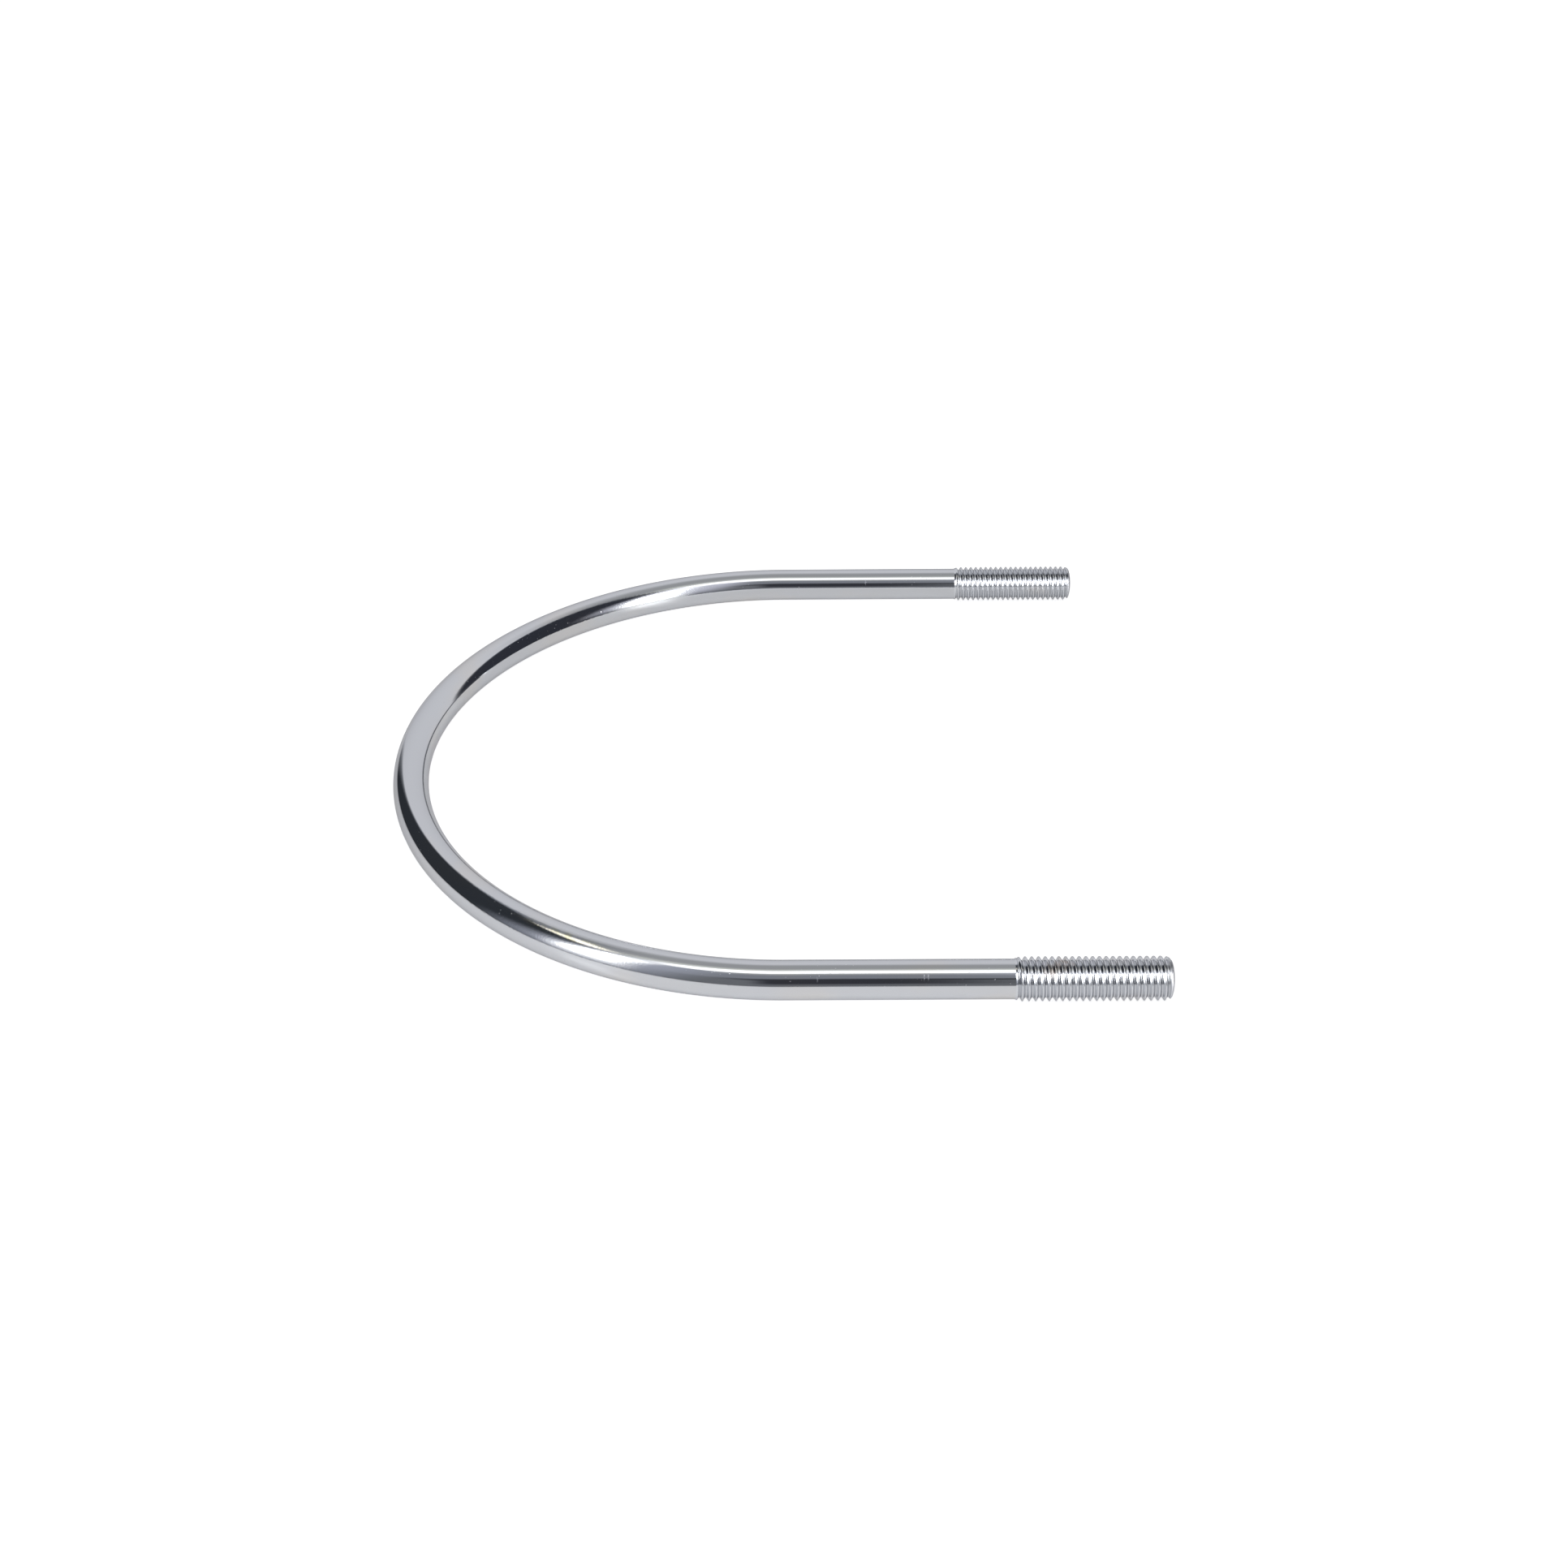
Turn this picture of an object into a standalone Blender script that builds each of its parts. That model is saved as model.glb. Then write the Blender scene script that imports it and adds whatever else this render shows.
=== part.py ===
"""U-bolt: one round steel bar bent to a half circle, with a rolled metric thread on each leg.

The bolt lies flat: X runs along the legs to their tips, Y across them and Z up.
The origin is the middle of its footprint, at its lowest point.
The bar is kept as five solids that meet face to face: the bow, two plain legs and two threads.
"""

import math

import bmesh
import bpy
from mathutils import Matrix

# Driving dimensions, in metres
CLEAR_WIDTH = 0.184  # between the plain legs
SHANK_DIAMETER = 0.00903  # plain bar, at the pitch diameter that the thread is rolled from
LEG_LENGTH = 0.086  # from the bow's centre to the tip, thread included
THREAD_DIAMETER = 0.010  # over the crests
THREAD_PITCH = 0.0015
THREAD_LENGTH = 0.035  # run-out and point included
RUN_OUT_LENGTH = 0.0018  # where the groove fades into the plain bar
POINT_LENGTH = 0.0022  # cone at the tip
POINT_DIAMETER = 0.006  # flat end face
FLANK_ANGLE = math.radians(30)  # each side of the groove, from square to the bar

# Facets
BAR_SIDES = 24
BOW_STEPS = 48
MERGE_DISTANCE = 1e-5
SHARP_ANGLE = math.radians(40)

# Bright zinc plating
PLAIN_COLOUR = (0.72, 0.73, 0.76, 1)
PLAIN_ROUGHNESS = 0.08
THREAD_COLOUR = (0.60, 0.62, 0.66, 1)
THREAD_ROUGHNESS = 0.2

# Derived sizes
SHANK_RADIUS = SHANK_DIAMETER / 2
BOW_RADIUS = CLEAR_WIDTH / 2 + SHANK_RADIUS
BOW_CENTRE_X = (BOW_RADIUS + SHANK_RADIUS - LEG_LENGTH) / 2
PLAIN_LENGTH = LEG_LENGTH - THREAD_LENGTH
CREST_RADIUS = THREAD_DIAMETER / 2
CREST_FLAT = THREAD_PITCH / 8
ROOT_FLAT = THREAD_PITCH / 6
FLANK_LENGTH = (THREAD_PITCH - CREST_FLAT - ROOT_FLAT) / 2
ROOT_RADIUS = CREST_RADIUS - FLANK_LENGTH / math.tan(FLANK_ANGLE)
POINT_RADIUS = POINT_DIAMETER / 2
AXIS_HEIGHT = max(SHANK_RADIUS, CREST_RADIUS)

FACE_ALONG_X = Matrix.Rotation(math.pi / 2, 4, "Y")


def clear_scene():
    for obj in list(bpy.data.objects):
        bpy.data.objects.remove(obj)


def zinc_plating(name, colour, roughness):
    material = bpy.data.materials.new(name)
    material.use_nodes = True
    shader = material.node_tree.nodes["Principled BSDF"]
    shader.inputs["Base Color"].default_value = colour
    shader.inputs["Roughness"].default_value = roughness
    shader.inputs["Metallic"].default_value = 1
    return material


def close_ends(bm):
    open_edges = [edge for edge in bm.edges if edge.is_boundary]
    bmesh.ops.holes_fill(bm, edges=open_edges, sides=0)


def finished_mesh(bm, name, material):
    bmesh.ops.recalc_face_normals(bm, faces=bm.faces)
    mesh = bpy.data.meshes.new(name)
    bm.to_mesh(mesh)
    bm.free()
    mesh.materials.append(material)
    mesh.shade_smooth()
    mesh.set_sharp_from_angle(angle=SHARP_ANGLE)
    return mesh


def bow_mesh(material):
    """Half a ring about the bow's centre, from the right leg round to the left leg."""
    bm = bmesh.new()
    at_right_leg = Matrix.Translation((0, -BOW_RADIUS, 0)) @ FACE_ALONG_X
    bmesh.ops.create_circle(bm, segments=BAR_SIDES, radius=SHANK_RADIUS, matrix=at_right_leg)
    bmesh.ops.spin(
        bm,
        geom=bm.verts[:] + bm.edges[:],
        cent=(0, 0, 0),
        axis=(0, 0, 1),
        angle=-math.pi,
        steps=BOW_STEPS,
    )
    for vert in bm.verts:
        if abs(vert.co.x) < MERGE_DISTANCE:
            vert.co.x = 0  # both ends lie flat against the legs
    close_ends(bm)
    return finished_mesh(bm, "bow", material)


def leg_mesh(material):
    """Plain round bar from the bow to the thread."""
    bm = bmesh.new()
    bmesh.ops.create_cone(
        bm,
        cap_ends=True,
        segments=BAR_SIDES,
        radius1=SHANK_RADIUS,
        radius2=SHANK_RADIUS,
        depth=PLAIN_LENGTH,
        matrix=Matrix.Translation((PLAIN_LENGTH / 2, 0, 0)) @ FACE_ALONG_X,
    )
    return finished_mesh(bm, "plain_leg", material)


def thread_outline():
    """One pitch of the thread, from root to root, as distances along the bar and radii."""
    crest_start = ROOT_FLAT + FLANK_LENGTH
    crest_end = crest_start + CREST_FLAT
    return [
        (0, ROOT_RADIUS),
        (ROOT_FLAT, ROOT_RADIUS),
        (crest_start, CREST_RADIUS),
        (crest_end, CREST_RADIUS),
        (THREAD_PITCH, ROOT_RADIUS),
    ]


def finished_radius(along, radius):
    """Fades the thread out into the plain bar and cuts the cone of the point."""
    rolled_share = min(along / RUN_OUT_LENGTH, 1)
    rolled_radius = SHANK_RADIUS + rolled_share * (radius - SHANK_RADIUS)
    from_tip = THREAD_LENGTH - along
    cone_radius = POINT_RADIUS + (CREST_RADIUS - POINT_RADIUS) * from_tip / POINT_LENGTH
    return min(rolled_radius, cone_radius)


def thread_mesh(material):
    """Right-hand thread along X, swept past both ends and then drawn back to its length."""
    bm = bmesh.new()
    spare_turns = 2
    turns = math.ceil(THREAD_LENGTH / THREAD_PITCH) + spare_turns
    start = -THREAD_PITCH * spare_turns
    outline = [bm.verts.new((start + along, radius, 0)) for along, radius in thread_outline()]
    edges = [bm.edges.new(pair) for pair in zip(outline, outline[1:])]
    bmesh.ops.spin(
        bm,
        geom=outline + edges,
        cent=(0, 0, 0),
        axis=(1, 0, 0),
        dvec=(THREAD_PITCH / BAR_SIDES, 0, 0),
        angle=2 * math.pi * turns,
        steps=BAR_SIDES * turns,
    )
    bmesh.ops.remove_doubles(bm, verts=bm.verts, dist=MERGE_DISTANCE)
    for vert in bm.verts:
        along = min(max(vert.co.x, 0), THREAD_LENGTH)
        across = vert.co.yz
        vert.co.x = along
        vert.co.yz = across.normalized() * finished_radius(along, across.length)
    bmesh.ops.remove_doubles(bm, verts=bm.verts, dist=MERGE_DISTANCE)
    bmesh.ops.dissolve_degenerate(bm, edges=bm.edges, dist=MERGE_DISTANCE)
    close_ends(bm)
    return finished_mesh(bm, "thread", material)


def add_piece(name, mesh, parent, location):
    piece = bpy.data.objects.new(name, mesh)
    piece.parent = parent
    piece.location = location
    bpy.context.collection.objects.link(piece)


def build_u_bolt():
    clear_scene()
    plain_bar = zinc_plating("plain_bar", PLAIN_COLOUR, PLAIN_ROUGHNESS)
    rolled_thread = zinc_plating("rolled_thread", THREAD_COLOUR, THREAD_ROUGHNESS)
    u_bolt = bpy.data.objects.new("u_bolt", None)
    u_bolt.location = (BOW_CENTRE_X, 0, AXIS_HEIGHT)
    bpy.context.collection.objects.link(u_bolt)

    add_piece("bow", bow_mesh(plain_bar), u_bolt, (0, 0, 0))
    leg = leg_mesh(plain_bar)
    thread = thread_mesh(rolled_thread)
    for side, across in (("left", BOW_RADIUS), ("right", -BOW_RADIUS)):
        add_piece(f"{side}_leg", leg, u_bolt, (0, across, 0))
        add_piece(f"{side}_thread", thread, u_bolt, (PLAIN_LENGTH, across, 0))


build_u_bolt()
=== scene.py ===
import math

import bmesh
import bpy
from mathutils import Matrix, Vector


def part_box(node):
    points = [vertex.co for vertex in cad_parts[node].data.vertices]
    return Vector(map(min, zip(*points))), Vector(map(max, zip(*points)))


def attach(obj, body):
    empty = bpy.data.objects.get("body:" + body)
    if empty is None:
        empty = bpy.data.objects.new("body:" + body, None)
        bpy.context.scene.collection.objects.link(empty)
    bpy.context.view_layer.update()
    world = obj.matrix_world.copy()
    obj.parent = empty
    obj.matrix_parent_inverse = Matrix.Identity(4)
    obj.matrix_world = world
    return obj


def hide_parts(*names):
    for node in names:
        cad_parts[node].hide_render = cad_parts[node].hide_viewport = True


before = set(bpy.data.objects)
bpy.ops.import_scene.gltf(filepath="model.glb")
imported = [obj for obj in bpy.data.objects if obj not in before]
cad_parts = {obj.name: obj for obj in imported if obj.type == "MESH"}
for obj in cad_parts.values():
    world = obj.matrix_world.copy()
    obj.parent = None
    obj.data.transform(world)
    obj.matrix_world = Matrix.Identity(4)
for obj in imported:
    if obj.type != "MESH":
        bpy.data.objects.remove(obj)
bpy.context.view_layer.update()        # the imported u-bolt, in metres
bpy.context.scene.view_settings.view_transform = "Standard"

# sizes read from the solids
legLow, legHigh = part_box("right_leg")
rightLow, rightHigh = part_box("right_thread")
barRadius = (legHigh.z - legLow.z) / 2
bowRadius = -(legLow.y + legHigh.y) / 2
axisZ = (legLow.z + legHigh.z) / 2
bowCentre = Vector((legLow.x, 0, axisZ))
legLength = legHigh.x - legLow.x
crestRadius = (rightHigh.z - rightLow.z) / 2
threadStart = rightLow.x
threadLength = rightHigh.x - rightLow.x
faceAlongX = Matrix.Rotation(math.pi / 2, 4, "Y")
degrees = 180 / math.pi        # in a radian
print(f"frame: bar {2000 * barRadius:.2f} mm thick, legs {2000 * bowRadius:.2f} mm apart")


class Value:
    # one shader value: sums and products of these become Math nodes
    def __init__(self, tree, socket=None):
        self.tree = tree
        self.socket = socket

    def add(self, kind, settings, inputs, output=0):
        # any other node: its settings first, then the values or links of its sockets
        node = self.tree.nodes.new(kind)
        for key, setting in settings.items():
            setattr(node, key, setting)
        for key, value in inputs.items():
            if isinstance(value, Value):
                self.tree.links.new(value.socket, node.inputs[key])
            else:
                node.inputs[key].default_value = value
        return Value(self.tree, node.outputs[output] if node.outputs else None)

    def math(self, operation, first, second=0.0):
        return self.add("ShaderNodeMath", {"operation": operation}, {0: first, 1: second})

    def __add__(self, other):
        return self.math("ADD", self, other)

    def __sub__(self, other):
        return self.math("SUBTRACT", self, other)

    def __rsub__(self, other):
        return self.math("SUBTRACT", other, self)

    def __mul__(self, other):
        return self.math("MULTIPLY", self, other)

    def __truediv__(self, other):
        return self.math("DIVIDE", self, other)

    __radd__ = __add__
    __rmul__ = __mul__

    def step(self, low, high):
        # 0 below low, 1 above high, smooth between
        limits = {"Value": self, "From Min": low, "From Max": high}
        return self.add("ShaderNodeMapRange", {"interpolation_type": "SMOOTHSTEP"}, limits)

    def band(self, low, high, soft):
        return self.step(low - soft, low + soft) * (1 - self.step(high - soft, high + soft))

    def mix(self, first, second):
        # colours, this value being the share of the second
        return self.add("ShaderNodeMix", {"data_type": "RGBA"}, {0: self, 6: first, 7: second}, 2)

    def vector(self, operation, first, second):
        return self.add("ShaderNodeVectorMath", {"operation": operation}, {0: first, 1: second})

    def parts(self):
        # x, y and z of a vector
        first = self.add("ShaderNodeSeparateXYZ", {}, {0: self})
        return [Value(self.tree, output) for output in first.socket.node.outputs]

    def length(self):
        # how long a vector is
        return self.add("ShaderNodeVectorMath", {"operation": "LENGTH"}, {0: self}, "Value")

    def noise(self, place, scale, detail=2.0):
        # place is a vector, scale is cells in a metre along its three directions
        spread = self.vector("MULTIPLY", place, scale)
        return self.add("ShaderNodeTexNoise", {}, {"Vector": spread, "Scale": 1.0, "Detail": detail})

    def spot(self, place, centre, halfSize, soft):
        # 1 inside an ellipsoid, fading over its edge
        offset = self.vector("DIVIDE", self.vector("SUBTRACT", place, centre), halfSize)
        return 1 - offset.length().step(1 - soft, 1 + soft)


def newMaterial(name):
    material = bpy.data.materials.new(name)
    material.use_nodes = True
    material.node_tree.nodes.clear()
    return material, Value(material.node_tree)


def closeMaterial(surface):
    surface.add("ShaderNodeOutputMaterial", {}, {"Surface": surface})


def addPiece(name, bm, material, smoothAngle=40):
    mesh = bpy.data.meshes.new(name)
    bm.to_mesh(mesh)
    bm.free()
    mesh.materials.append(material)
    mesh.shade_smooth()
    mesh.set_sharp_from_angle(angle=math.radians(smoothAngle))
    piece = bpy.data.objects.new(name, mesh)
    bpy.context.collection.objects.link(piece)
    return piece


def dress(piece, slot, *nodes):
    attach(piece, "root")
    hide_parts(*nodes)
    print(f"{piece.name}: {len(piece.data.polygons)} faces")


# bright zinc plating
plating = {
    "colour": (0.655, 0.668, 0.692, 1),
    "warmColour": (0.685, 0.677, 0.67, 1),
    "warmCells": (40, 90, 90),
    "warmFrom": (0.5, 0.75),
    "edgeTint": (0.64, 0.64, 0.65, 1),
    "roughness": 0.045,
    "smudge": 0.03,
    "smudgeCells": (60, 160, 160),
    "smudgeDetail": 4.0,
    "smudgeFrom": (0.45, 0.7),
    "drawLines": (18, 1000, 1000),    # long marks of the drawing die
    "peel": (420, 420, 420),          # slow waves in the plating
    "grain": (5200, 5200, 5200),      # fine frost
    "lineHeight": 3.5e-6,
    "peelHeight": 1.5e-6,
    "grainHeight": 0.5e-6,
}


def platedSteel(material, root, place, dents, wear, tint):
    # dents is a height in metres, wear is added to the roughness, tint colours the plating
    lines = root.noise(place, plating["drawLines"])
    peel = root.noise(place, plating["peel"])
    grain = root.noise(place, plating["grain"])
    height = lines * plating["lineHeight"] + peel * plating["peelHeight"] + grain * plating["grainHeight"]
    bump = root.add("ShaderNodeBump", {}, {"Strength": 1.0, "Distance": 1.0, "Height": height + dents})
    smudge = root.noise(place, plating["smudgeCells"], plating["smudgeDetail"]).step(*plating["smudgeFrom"])
    surface = root.add("ShaderNodeBsdfPrincipled", {}, {
        "Base Color": tint,
        "Metallic": 1.0,
        "Specular Tint": plating["edgeTint"],
        "Roughness": smudge * plating["smudge"] + plating["roughness"] + wear,
        "Normal": bump,
    })
    closeMaterial(surface)
    return material


def slowTint(root, place, shine):
    # drifts between the cool and the warm colour, both made brighter by shine
    cool, warm = ([shine * part for part in plating[name]] for name in ("colour", "warmColour"))
    return root.noise(place, plating["warmCells"]).step(*plating["warmFrom"]).mix(cool, warm)


# the bent bar: both plain legs and the bow in one unbroken sweep
bar = {
    "sides": 96,
    "bowSteps": 256,
    "frosted": (0.066, 0.122, 0.014),    # from the bow's middle, where bending has roughened the plating
    "frostElsewhere": 0.1,
    "frostGrain": (2100, 2600, 2600),
    "frostDetail": 3.0,
    "frostHeight": 1.3e-5,
    "frostWear": 0.035,
    "dustCells": (800, 800, 800),
    "dustSize": (0.06, 0.13),            # of a cell
    "dustPatches": (45, 120, 120),
    "dustFrom": (0.5, 0.6),
    "dustHeight": 4e-6,
    "dustWear": 0.25,
    "film": (0.64, 0.64, 0.51, 1),       # yellow passivation left on the lower bend
    "filmPlace": (-0.1, 0.0019, 0.0041),
    "filmSize": (0.009, 0.0008, 0.0008),
    "filmSoft": 0.7,
    "filmCells": (300, 900, 900),
    "filmFrom": (0.35, 0.65),
    "dentDepth": 1.2e-5,
    "dentWear": 0.2,
    "dentSoft": 0.6,
}
# marks in the plating: metres along from the bow's middle, degrees up from the outer side, kind
# a kind is its half sizes along and round the bar
pit = (0.00015, 0.00015)
scratch = (0.0001, 0.0007)
tick = (0.0003, 0.00014)
dents = [
    (-0.1334, 10, tick),
    (-0.1343, 12, tick),
    (-0.163, 70, pit),
    (-0.152, 46, pit),
    (-0.153, 34, pit),
    (-0.140, 52, pit),
    (-0.198, 36, pit),
    (-0.159, 40, scratch),
    (-0.1825, 44, scratch),
    (-0.1834, 44, scratch),
    (0.156, 164, pit),
    (0.176, 146, scratch),
    (0.190, 156, pit),
    (0.075, 148, pit),
    (0.080, 148, pit),
    (0.092, 152, pit),
]


def extrudeRing(bm, ring, offset):
    made = bmesh.ops.extrude_edge_only(bm, edges=ring)
    verts = [item for item in made["geom"] if isinstance(item, bmesh.types.BMVert)]
    bmesh.ops.translate(bm, verts=verts, vec=offset)
    moved = set(verts)
    return [edge for edge in bm.edges if moved.issuperset(edge.verts)]


def noteBarPlace(mesh):
    # each point's place on the bar before it was bent: along, outwards, up
    attribute = mesh.attributes.new("barPlace", "FLOAT_VECTOR", "POINT")
    for vert, item in zip(mesh.vertices, attribute.data):
        offset = vert.co - bowCentre
        if offset.x > 0:
            side = math.copysign(1, offset.y)
            along = side * (bowRadius * math.pi / 2 + offset.x)
            outwards = abs(offset.y) - bowRadius
        else:
            along = bowRadius * math.atan2(offset.y, -offset.x)
            outwards = offset.xy.length - bowRadius
        item.vector = (along, outwards, offset.z)


def platedBar():
    material, root = newMaterial("bright plated bar")
    place = root.add("ShaderNodeAttribute", {"attribute_name": "barPlace"}, {}, "Vector")
    along = root.math("ABSOLUTE", place.parts()[0])
    frosted = along.band(*bar["frosted"]) * (1 - bar["frostElsewhere"]) + bar["frostElsewhere"]
    frost = root.noise(place, bar["frostGrain"], bar["frostDetail"]) * frosted
    spots = []
    for where, turn, (halfAlong, halfRound) in dents:
        outwards = barRadius * math.cos(math.radians(turn))
        up = barRadius * math.sin(math.radians(turn))
        halfSize = (halfAlong, halfRound, halfRound)
        spots.append(root.spot(place, (where, outwards, up), halfSize, bar["dentSoft"]))
    marks = sum(spots)
    cells = root.vector("MULTIPLY", place, bar["dustCells"])
    specks = root.add("ShaderNodeTexVoronoi", {}, {"Vector": cells, "Scale": 1.0})
    patches = root.noise(place, bar["dustPatches"]).step(*bar["dustFrom"])
    dust = (1 - specks.step(*bar["dustSize"])) * patches
    height = frost * bar["frostHeight"] - marks * bar["dentDepth"] + dust * bar["dustHeight"]
    film = root.spot(place, bar["filmPlace"], bar["filmSize"], bar["filmSoft"])
    film = film * root.noise(place, bar["filmCells"]).step(*bar["filmFrom"])
    tint = film.mix(slowTint(root, place, 1), bar["film"])
    wear = frosted * bar["frostWear"] + marks * bar["dentWear"] + dust * bar["dustWear"]
    return platedSteel(material, root, place, height, wear, tint)


def bendBar(material):
    bm = bmesh.new()
    start = Matrix.Translation((threadStart, -bowRadius, axisZ)) @ faceAlongX
    bmesh.ops.create_circle(bm, segments=bar["sides"], radius=barRadius, matrix=start)
    ring = extrudeRing(bm, bm.edges[:], (-legLength, 0, 0))
    ringVerts = list({vert for edge in ring for vert in edge.verts})
    spun = bmesh.ops.spin(
        bm,
        geom=ringVerts + ring,
        cent=bowCentre,
        axis=(0, 0, 1),
        angle=-math.pi,
        steps=bar["bowSteps"],
    )
    ring = [item for item in spun["geom_last"] if isinstance(item, bmesh.types.BMEdge)]
    extrudeRing(bm, ring, (legLength, 0, 0))
    bmesh.ops.holes_fill(bm, edges=[edge for edge in bm.edges if edge.is_boundary], sides=0)
    bmesh.ops.recalc_face_normals(bm, faces=bm.faces)
    piece = addPiece("bent_bar", bm, material)
    noteBarPlace(piece.data)
    return piece


dress(bendBar(platedBar()), "plain_bar", "bow", "left_leg", "right_leg")


# the rolled threads
thread = {
    "pitch": 0.0015,
    "stepsPerTurn": 60,
    "spareTurns": 3,              # rolled ahead of the start and then cut off
    "crestFlat": 1 / 8,           # of a pitch, before its edges are rounded
    "rootFlat": 1 / 6,
    "flankAngle": 32.5,           # a little open, from the plating
    "crestRound": 0.00009,
    "rootRound": 0.00012,
    "roundSteps": 4,
    "flankSteps": 4,
    "mergeDistance": 1e-6,
    "cutDistance": 1e-7,
    "collarLength": 0.0004,       # metal pushed up where the rolling begins
    "collarSlope": 25,
    "crestFade": 0.0009,          # the crests reach full height this far past the collar
    "rootFade": 0.0005,           # the roots reach full depth sooner
    "coneRise": 0.5,              # the end is a cone, then rounded over, then cut to a small flat face
    "roundLength": 0.001,
    "roundRadius": 0.0046,
    "faceCut": 0.0001,
    "tipBlend": 0.00012,          # eases the cone into the crests
    "tipRings": 8,
    "faceRings": (0.94, 0.5),
    "smoothAngle": 50,
    "shine": 1.04,
    "wear": 0.05,                 # rolled threads shine less than drawn bar
    "stains": ((0.0105, 88, 0.8), (0.0077, 62, 0.4)),    # brown: along, degrees up, strength
    "stainSize": (0.0016, 0.002, 0.002),
    "stainSoft": 0.6,
    "stainCells": (700, 350, 350),
    "stainDetail": 3.0,
    "stainFrom": (0.3, 0.6),
    "stainColour": (0.52, 0.42, 0.34, 1),
    "stainWear": 0.12,
    "cutEnd": (0.0015, 0.001),    # back from the tip: where the duller cut end begins, and is full
    "cutWear": 0.3,
    "endMarks": 5200,             # rings left on the end faces by the cutting tool, to the metre
    "endMarkFrom": (0.0009, 0.0002),
    "endMarkHeight": 3e-6,
}
# the two ends differ a little in length, and in where their thread starts round the bar
leftEnd = {"side": 1, "startTurn": 0.8, "length": threadLength - 0.0001}
rightEnd = {"side": -1, "startTurn": 0.0, "length": threadLength + 0.00025}


def roundCorner(corner, before, after):
    # points of a curve from before to after that is drawn towards the corner
    points = []
    for index in range(thread["roundSteps"] + 1):
        share = index / thread["roundSteps"]
        points.append(before.lerp(corner, share).lerp(corner.lerp(after, share), share))
    return points


def threadOutline():
    # one pitch from the middle of a root to the middle of the next, as (along, radius)
    slope = math.radians(thread["flankAngle"])
    flank = thread["pitch"] * (1 - thread["crestFlat"] - thread["rootFlat"]) / 2
    root = Vector((thread["pitch"] * thread["rootFlat"] / 2, crestRadius - flank / math.tan(slope)))
    crest = Vector((root.x + flank, crestRadius))
    flat = Vector((1, 0))
    rise = (crest - root).normalized()
    low = roundCorner(root, root - thread["rootRound"] * flat, root + thread["rootRound"] * rise)
    high = roundCorner(crest, crest - thread["crestRound"] * rise, crest + thread["crestRound"] * flat)
    shares = [index / thread["flankSteps"] for index in range(1, thread["flankSteps"])]
    middle = [low[-1].lerp(high[0], share) for share in shares]
    half = [Vector((0, root.y))] + low + middle + high
    return half + [Vector((thread["pitch"] - point.x, point.y)) for point in reversed(half)]


def tipRadius(depth):
    # of the rounded end and its cone, this far back from the flat face
    depth += thread["faceCut"]
    rest = max(1 - depth / thread["roundLength"], 0)
    cone = max(depth - thread["roundLength"], 0) * thread["coneRise"]
    return thread["roundRadius"] * math.sqrt(1 - rest ** 2) + cone


def tipDepth(radius):
    # how far back from the flat face the rounded end has this radius
    rest = math.sqrt(1 - (radius / thread["roundRadius"]) ** 2)
    return thread["roundLength"] * (1 - rest) - thread["faceCut"]


def finishedRadius(end, along, radius):
    # raises the form from the plain bar over a collar, and shapes the tip
    slope = math.tan(math.radians(thread["collarSlope"]))
    collar = barRadius + slope * min(along, thread["collarLength"])
    fade = thread["crestFade"] if radius > collar else thread["rootFade"]
    rolled = collar + (radius - collar) * min(max(along - thread["collarLength"], 0) / fade, 1)
    tip = tipRadius(end["length"] - along)
    blend = thread["tipBlend"]
    share = min(max(0.5 + (tip - rolled) / (2 * blend), 0), 1)
    return tip + (rolled - tip) * share - blend * share * (1 - share)


def roundTip(bm, ring, plainRadius):
    # rings over the rounded end and then across its flat face
    faceRadius = tipRadius(0)
    shares = [index / thread["tipRings"] for index in range(1, thread["tipRings"] + 1)]
    radii = [plainRadius + (faceRadius - plainRadius) * share for share in shares]
    before = plainRadius
    for radius in radii + [share * faceRadius for share in thread["faceRings"]]:
        outwards = tipDepth(max(before, faceRadius)) - tipDepth(max(radius, faceRadius))
        ring = extrudeRing(bm, ring, (outwards, 0, 0))
        verts = list({vert for edge in ring for vert in edge.verts})
        bmesh.ops.scale(bm, verts=verts, vec=(1, radius / before, radius / before))
        before = radius


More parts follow.
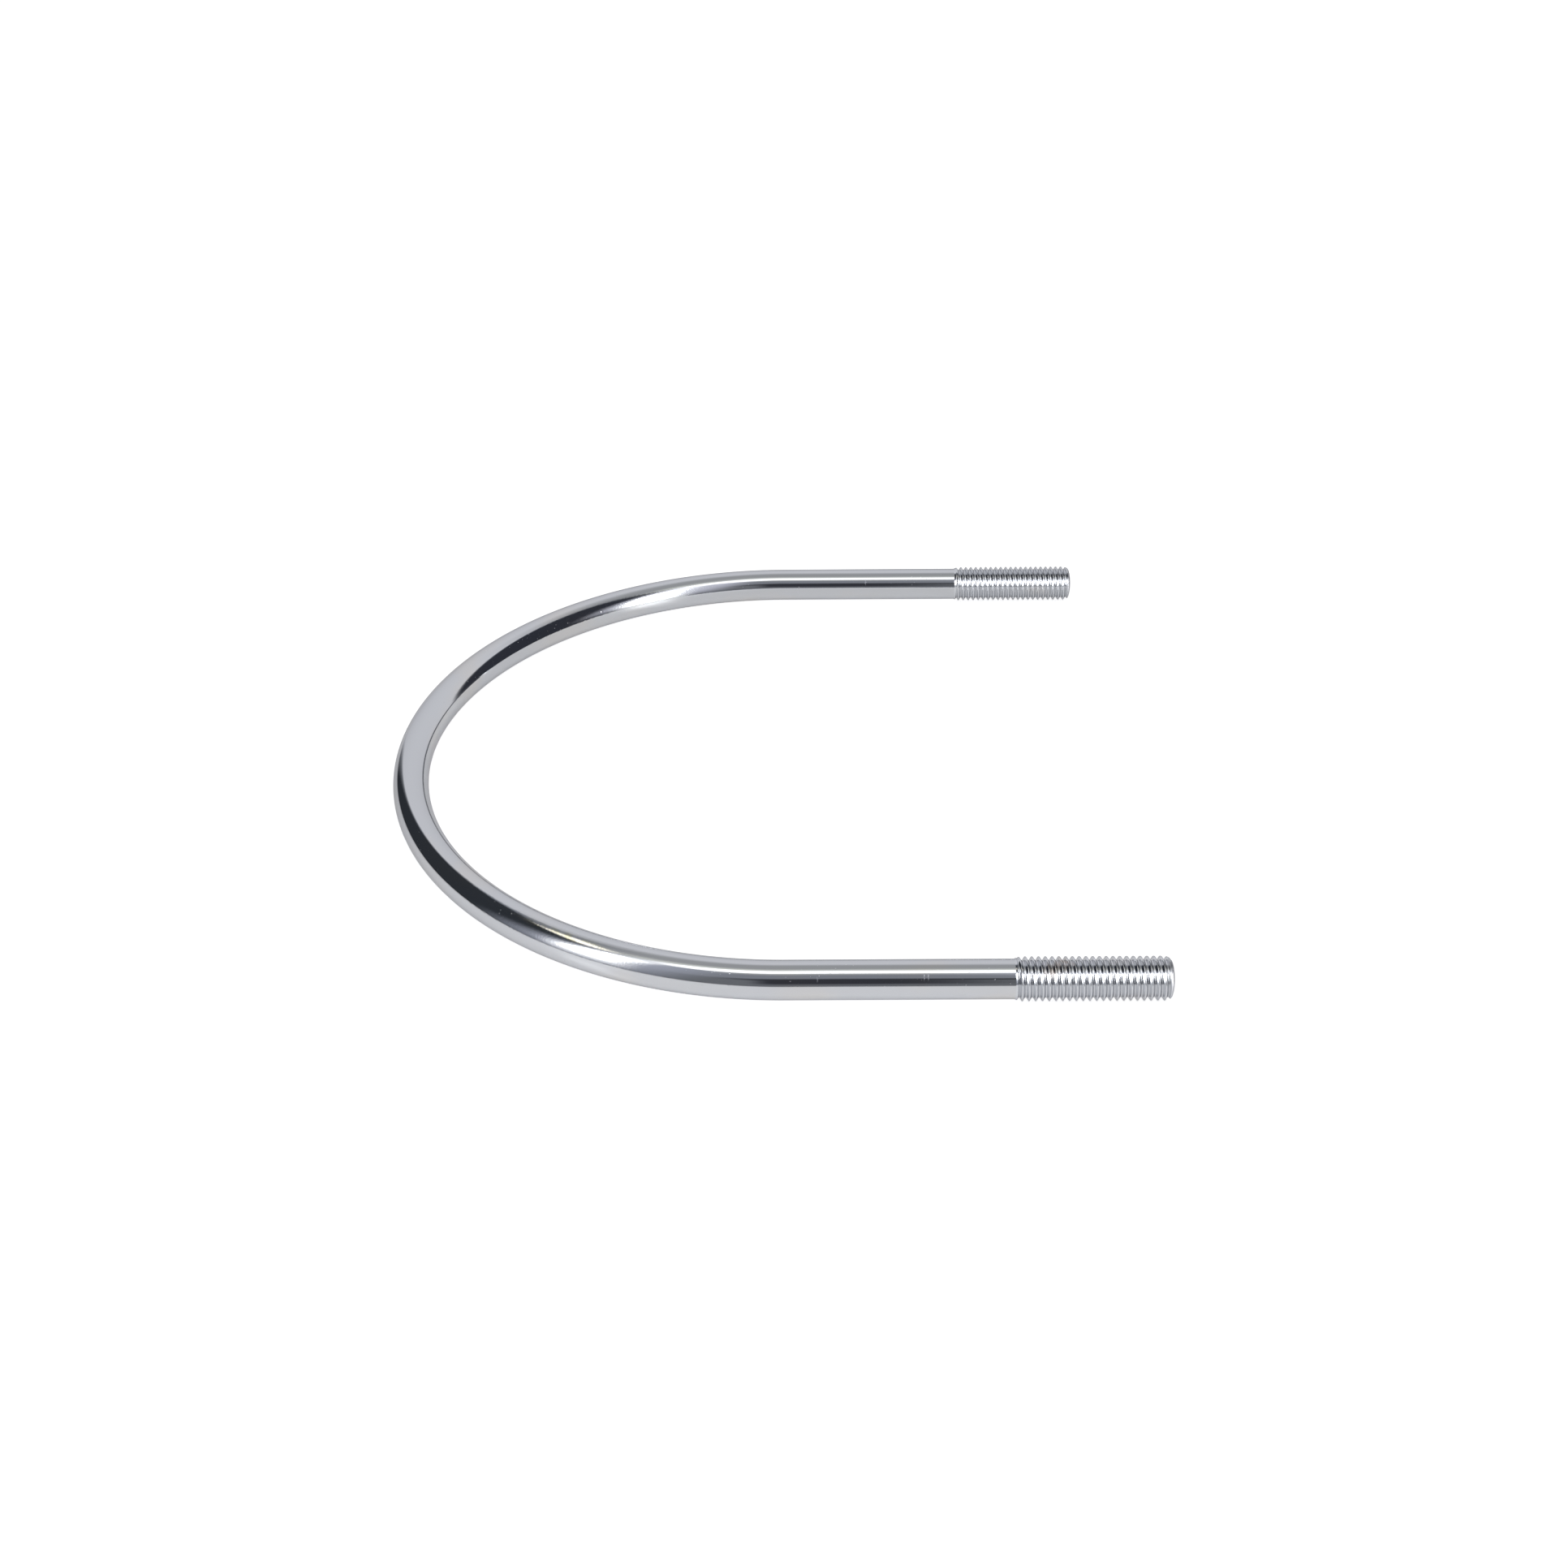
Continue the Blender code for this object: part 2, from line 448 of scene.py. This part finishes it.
def rollThread(name, end, material):
    bm = bmesh.new()
    first = (end["startTurn"] - thread["spareTurns"]) * thread["pitch"]
    profile = threadOutline()
    outline = [bm.verts.new((first + point.x, point.y, 0)) for point in profile]
    edges = [bm.edges.new(pair) for pair in zip(outline, outline[1:])]
    # one turn, which ends a pitch further on, so it has no seam to merge yet
    bmesh.ops.spin(
        bm,
        geom=outline + edges,
        cent=(0, 0, 0),
        axis=(1, 0, 0),
        dvec=(thread["pitch"] / thread["stepsPerTurn"], 0, 0),
        angle=2 * math.pi,
        steps=thread["stepsPerTurn"],
    )
    turns = 1
    while first + turns * thread["pitch"] < end["length"]:
        copied = bmesh.ops.duplicate(bm, geom=bm.verts[:] + bm.edges[:] + bm.faces[:])
        verts = [item for item in copied["geom"] if isinstance(item, bmesh.types.BMVert)]
        bmesh.ops.translate(bm, verts=verts, vec=(turns * thread["pitch"], 0, 0))
        turns *= 2
    bmesh.ops.remove_doubles(bm, verts=bm.verts, dist=thread["mergeDistance"])
    plainRadius = profile[0].y - 2 * thread["tipBlend"]    # past the last groove
    tipStart = end["length"] - tipDepth(plainRadius)
    for place, outside, cutOff in ((0, -1, True), (thread["collarLength"], 1, False), (tipStart, 1, True)):
        bmesh.ops.bisect_plane(
            bm,
            geom=bm.verts[:] + bm.edges[:] + bm.faces[:],
            dist=thread["cutDistance"],
            plane_co=(place, 0, 0),
            plane_no=(outside, 0, 0),
            clear_outer=cutOff,
        )
    for vert in bm.verts:
        across = vert.co.yz
        vert.co.yz = across.normalized() * finishedRadius(end, vert.co.x, across.length)
    rims = [edge for edge in bm.edges if edge.is_boundary]
    roundTip(bm, [edge for edge in rims if edge.verts[0].co.x > tipStart / 2], plainRadius)
    bmesh.ops.holes_fill(bm, edges=[edge for edge in bm.edges if edge.is_boundary], sides=0)
    bmesh.ops.recalc_face_normals(bm, faces=bm.faces)
    bmesh.ops.translate(bm, verts=bm.verts, vec=(threadStart, end["side"] * bowRadius, axisZ))
    return addPiece(name, bm, material, thread["smoothAngle"])


def nearTip(x, backFrom):
    # 0 to 1 between two distances back from the tip
    return x.step(*[threadStart + threadLength - back for back in backFrom])


def endMarks(root, x, y, z):
    aside = root.math("ABSOLUTE", y) - bowRadius
    reach = root.add("ShaderNodeCombineXYZ", {}, {0: aside, 1: z - axisZ}).length()
    rings = root.noise(root.add("ShaderNodeCombineXYZ", {}, {0: reach}), [thread["endMarks"]] * 3)
    return rings * nearTip(x, thread["endMarkFrom"]) * thread["endMarkHeight"]


def platedThread():
    material, root = newMaterial("bright plated thread")
    place = root.add("ShaderNodeTexCoord", {}, {}, "Object")
    x, y, z = place.parts()
    spots = []
    for along, turn, strength in thread["stains"]:
        across = crestRadius * Vector((0, -math.cos(math.radians(turn)), math.sin(math.radians(turn))))
        centre = across + Vector((threadStart + along, -bowRadius, axisZ))
        spots.append(root.spot(place, centre, thread["stainSize"], thread["stainSoft"]) * strength)
    blotches = root.noise(place, thread["stainCells"], thread["stainDetail"]).step(*thread["stainFrom"])
    stain = root.math("MINIMUM", sum(spots) * blotches, 1.0)
    tint = stain.mix(slowTint(root, place, thread["shine"]), thread["stainColour"])
    cutEnd = nearTip(x, thread["cutEnd"])
    wear = stain * thread["stainWear"] + cutEnd * thread["cutWear"] + thread["wear"]
    return platedSteel(material, root, place, endMarks(root, x, y, z), wear, tint)


rolledPlating = platedThread()
dress(rollThread("left_rolled_thread", leftEnd, rolledPlating), "rolled_thread", "left_thread")
dress(rollThread("right_rolled_thread", rightEnd, rolledPlating), "rolled_thread", "right_thread")


# the studio: white floor and sweep, two tall soft boxes, a lamp overhead and a dark room round them
floor = {
    "size": 12,
    "colour": (0.8, 0.8, 0.8, 1),
    "lift": (0.79, 0.79, 0.79, 1),           # makes it white to the camera
    "mirroredColour": (0.45, 0.45, 0.45, 1),
    # a painted pool of light on the floor, seen only in the metal, with painted shade behind and beyond it
    "mirroredPoolLight": (0.63, 0.63, 0.645, 1),
    "mirroredBackShade": (0.5, 0.5, 0.51, 1),     # painted shade: the painted pool of light is dimmer behind the right leg
    "backFrom": (-0.13, 0.06),
    "mirroredEdge": (0.095, 0.095, 0.1, 1),  # the metal also shows where the pool of light ends
    "pool": (0.11, 0.37),
    "poolBack": (-43, 7, 7),                 # azimuths at which it runs on to the sweep
    "gloss": 0.14,                           # roughness of its sheen towards the horizon
    "sheen": 0.42,
    "refraction": 1.45,
}
studio = {
    "radius": 0.9,
    "sides": 96,
    "strength": 0.75,
    "room": (0.245, 0.254, 0.276, 1),
    "upperRoom": (0.355, 0.37, 0.415, 1),
    "upperRoomFrom": (28, 38),
    "ceiling": (0.55, 0.56, 0.57, 1),
    "ceilingFrom": (54, 75),
    "rearCeiling": (1.23, 1.24, 1.15, 1),
    "rearCeilingFrom": (-0.157, 0.116),
    "squareness": 4.0,                       # of the panels' corners
}
# azimuth from +Y towards +X and elevation in degrees, lean is azimuth gained per degree up
panels = {
    "dark over the camera": {"az": 178, "halfAz": 16, "el": 33.5, "halfEl": 4, "lean": 0, "soft": 0.5,
                             "colour": (0.1, 0.103, 0.115, 1)},
    "camera": {"az": 179, "halfAz": 7.5, "el": 24, "halfEl": 13.5, "lean": 0, "soft": 0.45,
               "colour": (0.06, 0.062, 0.075, 1)},
    "sweep": {"az": 4, "halfAz": 44, "el": 25, "halfEl": 60, "lean": -0.05, "soft": 0.06,
              "colour": (1.03, 1.035, 1.08, 1), "fade": (44, 67)},
    "left dark": {"az": -80, "halfAz": 36.5, "el": 18, "halfEl": 38.5, "lean": 0, "soft": 0.07,
                  "colour": (0.046, 0.052, 0.062, 1)},
    "right dark": {"az": 87.5, "halfAz": 37, "el": 23, "halfEl": 43.5, "lean": -0.05, "soft": 0.08,
                   "colour": (0.048, 0.052, 0.068, 1)},
    "left strip": {"az": -87.5, "halfAz": 16, "el": 60, "halfEl": 3.6, "lean": 0.08, "soft": 0.6,
                   "colour": (2.8, 2.65, 2.35, 1)},
    "left glow": {"az": -131, "halfAz": 21, "el": 34, "halfEl": 32, "lean": -0.13, "soft": 0.65,
                  "colour": (0.61, 0.64, 0.74, 1)},
    "right glow": {"az": 136, "halfAz": 22, "el": 44, "halfEl": 32, "lean": 0.1, "soft": 0.5,
                   "colour": (0.96, 0.97, 1.09, 1)},
    "left box": {"az": -127, "halfAz": 8.7, "el": 35.8, "halfEl": 22.5, "lean": 0.1, "soft": 0.86,
                 "colour": (3, 3, 3, 1)},
    "right box": {"az": 132, "halfAz": 9, "el": 30, "halfEl": 28, "lean": -0.08, "soft": 0.95,
                  "colour": (3, 3, 3, 1)},
    "left lamp": {"az": -127, "halfAz": 6, "el": 36, "halfEl": 15, "lean": 0.1, "soft": 0.5,
                  "colour": (14, 14, 14, 1)},
    "right lamp": {"az": 132, "halfAz": 7, "el": 30, "halfEl": 20, "lean": -0.08, "soft": 0.4,
                   "colour": (14, 14, 14, 1)},
    # painted shade along the fold at the foot of the sweep
    "shade at the foot of the sweep": {"az": 20, "halfAz": 33, "el": 0, "halfEl": 3, "lean": 0, "soft": 0.8,
                          "colour": (0.36, 0.365, 0.39, 1)},
}
overhead = {
    "halfX": 0.31,
    "y": -0.235,
    "halfY": 0.115,
    "above": (0.3, 0.4),
    "soft": 0.15,
    "colour": (2.4, 2.4, 2.4, 1),
}


def seenDirectly(root):
    # 1 for the camera's own rays and for what metal and glass show
    kinds = ("Is Camera Ray", "Is Glossy Ray", "Is Transmission Ray")
    return root.math("MINIMUM", sum(root.add("ShaderNodeLightPath", {}, {}, kind) for kind in kinds), 1.0)


def rounded(root, across, up, soft):
    # 1 inside a rounded rectangle of half sizes 1, fading over its edge
    power = studio["squareness"]
    size = root.math("POWER", root.math("POWER", across, power) + root.math("POWER", up, power), 1 / power)
    return 1 - size.step(1 - soft, 1 + soft)


def layFloor():
    material, root = newMaterial("white floor")
    place = root.add("ShaderNodeTexCoord", {}, {}, "Object")
    x, y = place.parts()[:2]
    mirrored = root.add("ShaderNodeLightPath", {}, {}, "Is Glossy Ray")
    azimuth = root.math("ARCTAN2", x, y) * degrees
    # what the metal sees of the floor: a painted pool of light, with painted shade behind the right leg and
    # outside the pool
    outside = place.length().step(*floor["pool"]) * (1 - azimuth.band(*floor["poolBack"]))
    lift = y.step(*floor["backFrom"]).mix(floor["mirroredPoolLight"], floor["mirroredBackShade"])
    lift = mirrored.mix(floor["lift"], outside.mix(lift, floor["mirroredEdge"]))
    glow = root.add("ShaderNodeEmission", {}, {"Color": seenDirectly(root).mix((0, 0, 0, 1), lift)})
    paper = mirrored.mix(floor["colour"], floor["mirroredColour"])
    paper = root.add("ShaderNodeBsdfDiffuse", {}, {"Color": paper})
    matt = root.add("ShaderNodeAddShader", {}, {0: paper, 1: glow})
    sheen = root.add("ShaderNodeBsdfGlossy", {}, {"Roughness": floor["gloss"]})
    shiny = root.add("ShaderNodeAddShader", {}, {0: matt, 1: sheen})
    share = root.add("ShaderNodeFresnel", {}, {"IOR": floor["refraction"]}) * mirrored * floor["sheen"]
    closeMaterial(root.add("ShaderNodeMixShader", {}, {0: share, 1: matt, 2: shiny}))
    bm = bmesh.new()
    bmesh.ops.create_grid(bm, x_segments=1, y_segments=1, size=floor["size"] / 2)
    addPiece("floor", bm, material)


def paintStudio():
    material, root = newMaterial("studio walls")
    x, y, z = root.add("ShaderNodeTexCoord", {}, {}, "Object").parts()
    azimuth = root.math("ARCTAN2", x, y) * degrees
    elevation = root.math("ARCSINE", z / studio["radius"]) * degrees
    colour = elevation.step(*studio["upperRoomFrom"]).mix(studio["room"], studio["upperRoom"])
    ceiling = y.step(*studio["rearCeilingFrom"]).mix(studio["rearCeiling"], studio["ceiling"])
    colour = elevation.step(*studio["ceilingFrom"]).mix(colour, ceiling)
    for panel in panels.values():
        aside = azimuth - panel["az"] - (elevation - panel["el"]) * panel["lean"]
        aside = root.add("ShaderNodeMath", {"operation": "WRAP"}, {0: aside, 1: 180.0, 2: -180.0})
        above = (elevation - panel["el"]) / panel["halfEl"]
        paint = panel["colour"]
        if "fade" in panel:
            paint = elevation.step(*panel["fade"]).mix(paint, studio["ceiling"])
        colour = rounded(root, aside / panel["halfAz"], above, panel["soft"]).mix(colour, paint)
    lampY = (y - overhead["y"]) / overhead["halfY"]
    lamp = rounded(root, x / overhead["halfX"], lampY, overhead["soft"]) * z.step(*overhead["above"])
    colour = lamp.mix(colour, overhead["colour"])
    closeMaterial(root.add("ShaderNodeEmission", {}, {"Color": colour, "Strength": studio["strength"]}))
    material.cycles.emission_sampling = "NONE"
    bm = bmesh.new()
    sides = studio["sides"]
    bmesh.ops.create_uvsphere(bm, u_segments=sides, v_segments=sides // 2, radius=studio["radius"])
    dome = addPiece("studio_dome", bm, material)
    dome.visible_camera = False
    dome.visible_diffuse = False
    dome.visible_shadow = False


light = {
    "ambient": 0.336,
    "lampPlace": (0, -0.23, 0.87),
    "lampSize": (0.6, 0.4),
    "lampPower": 1.2,
}


def lightStudio():
    world = bpy.data.worlds.new("white surround")
    world.use_nodes = True
    world.node_tree.nodes.clear()
    root = Value(world.node_tree)
    strength = seenDirectly(root) * (1 - light["ambient"]) + light["ambient"]
    sky = root.add("ShaderNodeBackground", {}, {"Color": (1, 1, 1, 1), "Strength": strength})
    root.add("ShaderNodeOutputWorld", {}, {"Surface": sky})
    bpy.context.scene.world = world
    lamp = bpy.data.lights.new("overhead lamp", "AREA")
    lamp.shape = "RECTANGLE"
    lamp.size, lamp.size_y = light["lampSize"]
    lamp.energy = light["lampPower"]
    lampObject = bpy.data.objects.new("overhead lamp", lamp)
    lampObject.location = light["lampPlace"]
    lampObject.visible_camera = False
    lampObject.visible_glossy = False
    bpy.context.collection.objects.link(lampObject)


# the camera, turned from a level look along +Y
camera = {
    "place": (0.009444, -0.455357, 0.284518),
    "yaw": 0.2534,
    "pitch": -32.435,
    "roll": 0.4388,
    "lens": 46.888,
    "clipStart": 0.01,
}


def aimCamera():
    lens = bpy.data.cameras.new("camera")
    lens.lens = camera["lens"]
    lens.clip_start = camera["clipStart"]
    eye = bpy.data.objects.new("camera", lens)
    turn = Matrix.Rotation(math.radians(camera["yaw"]), 4, "Z")
    turn = turn @ Matrix.Rotation(math.radians(camera["pitch"]), 4, "X")
    turn = turn @ Matrix.Rotation(math.radians(camera["roll"]), 4, "Y")
    levelLook = Matrix.Rotation(math.pi / 2, 4, "X")
    eye.matrix_world = Matrix.Translation(camera["place"]) @ turn @ levelLook
    bpy.context.collection.objects.link(eye)
    bpy.context.scene.camera = eye


layFloor()
paintStudio()
lightStudio()
aimCamera()
print("studio and camera set")
